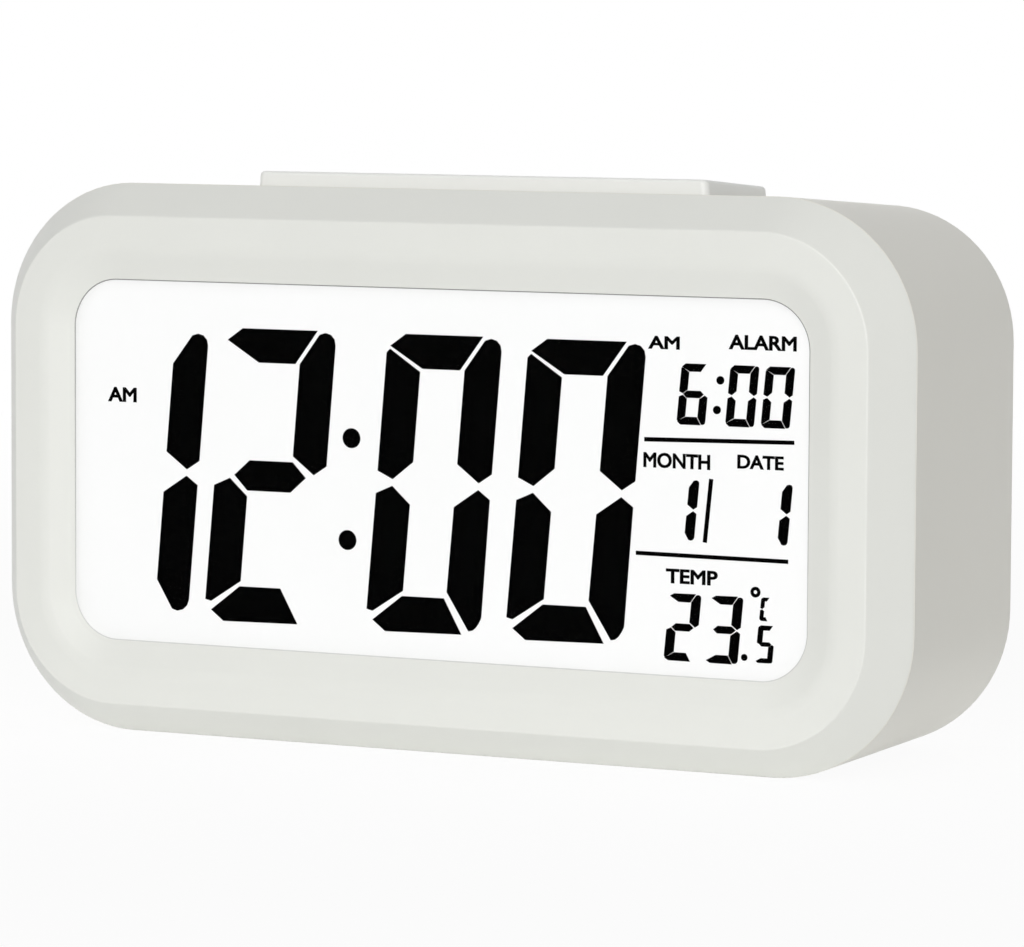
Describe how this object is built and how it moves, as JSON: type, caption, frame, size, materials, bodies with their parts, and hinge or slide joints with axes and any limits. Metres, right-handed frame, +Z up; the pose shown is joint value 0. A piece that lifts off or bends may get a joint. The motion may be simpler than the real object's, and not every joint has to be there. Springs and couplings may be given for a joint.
{
  "type": "digital alarm clock",
  "caption": "White desk alarm clock with a rounded ring front, large segment display, top snooze bar, rear setting keys and a hinged battery door.",
  "frame": {"origin": "on the base plane, under the middle of the overall box", "axes": "+X to the viewer's right along the front, +Y from the display towards the rear, +Z up"},
  "size_m": [0.135, 0.046, 0.0767],
  "materials": {
    "white_plastic": "fine satin moulding",
    "key_plastic": "satin moulding",
    "lens_clear": "polished clear acrylic",
    "lcd_white": "polarised glass over a white light guide",
    "segment_black": "dark liquid-crystal segments",
    "frame_plastic": "plain white moulding",
    "guide_clear": "clear acrylic",
    "sheet_white": "white film",
    "led_yellow": "white lamp under yellow resin",
    "zebra_rubber": "layered silicone rubber",
    "board_green": "green solder mask on glass-fibre board",
    "resin_black": "cured black resin",
    "can_metal": "plain drawn can",
    "capacitor_sleeve": "blue shrink sleeve",
    "bead_green": "dipped bead",
    "switch_black": "black moulding",
    "ribbon_grey": "flat insulated cable",
    "cell_sleeve": "drawn can under a plain printed sleeve",
    "nickel_plate": "nickel-plated spring steel",
    "brass_disc": "thin brass disc",
    "lead_red": "insulated stranded lead",
    "lead_black": "insulated stranded lead",
    "screw_steel": "plated steel"
  },
  "bodies": {
    "case": {"front_bezel": "white_plastic", "rear_shell": "white_plastic", "display_lens": "lens_clear", "lcd_panel": "lcd_white", "lcd_segments": "segment_black", "lcd_frame": "frame_plastic", "light_guide": "guide_clear", "reflector_sheet": "sheet_white", "backlight_leds": "led_yellow", "zebra_strip": "zebra_rubber", "main_board": "board_green", "key_board": "board_green", "chip_cap": "resin_black", "crystal_can": "can_metal", "capacitors": "capacitor_sleeve", "thermistor": "bead_green", "snooze_switch": "switch_black", "key_switches": "switch_black", "key_ribbon": "ribbon_grey", "battery_cells": "cell_sleeve", "contact_negative": "nickel_plate", "contact_positive": "nickel_plate", "contact_link_left": "nickel_plate", "contact_link_right": "nickel_plate", "piezo_disc": "brass_disc", "buzzer_leads": "lead_red", "battery_lead_red": "lead_red", "battery_lead_black": "lead_black", "case_screws": "screw_steel", "board_screws": "screw_steel", "key_board_screws": "screw_steel"},
    "snooze_bar": {"snooze_bar": "white_plastic"},
    "button_mode": {"button_mode": "key_plastic"},
    "button_set": {"button_set": "key_plastic"},
    "button_up": {"button_up": "key_plastic"},
    "button_down": {"button_down": "key_plastic"},
    "button_alarm": {"button_alarm": "key_plastic"},
    "battery_door": {"battery_door": "white_plastic"}
  },
  "joints": [
    {"name": "snooze_press", "type": "slide", "parent": "case", "child": "snooze_bar", "axis": [0, 0, -1], "range_m": [0, 0.0008], "stiffness_N_per_m": 2500},
    {"name": "mode_press", "type": "slide", "parent": "case", "child": "button_mode", "axis": [0, -1, 0], "range_m": [0, 0.0006], "stiffness_N_per_m": 2500},
    {"name": "set_press", "type": "slide", "parent": "case", "child": "button_set", "axis": [0, -1, 0], "range_m": [0, 0.0006], "stiffness_N_per_m": 2500},
    {"name": "up_press", "type": "slide", "parent": "case", "child": "button_up", "axis": [0, -1, 0], "range_m": [0, 0.0006], "stiffness_N_per_m": 2500},
    {"name": "down_press", "type": "slide", "parent": "case", "child": "button_down", "axis": [0, -1, 0], "range_m": [0, 0.0006], "stiffness_N_per_m": 2500},
    {"name": "alarm_press", "type": "slide", "parent": "case", "child": "button_alarm", "axis": [0, -1, 0], "range_m": [0, 0.0006], "stiffness_N_per_m": 2500},
    {"name": "door_swing", "type": "hinge", "parent": "case", "child": "battery_door", "pos_m": [0, 0.0209, 0.0109], "axis": [-1, 0, 0], "range_deg": [0, 90]}
  ]
}
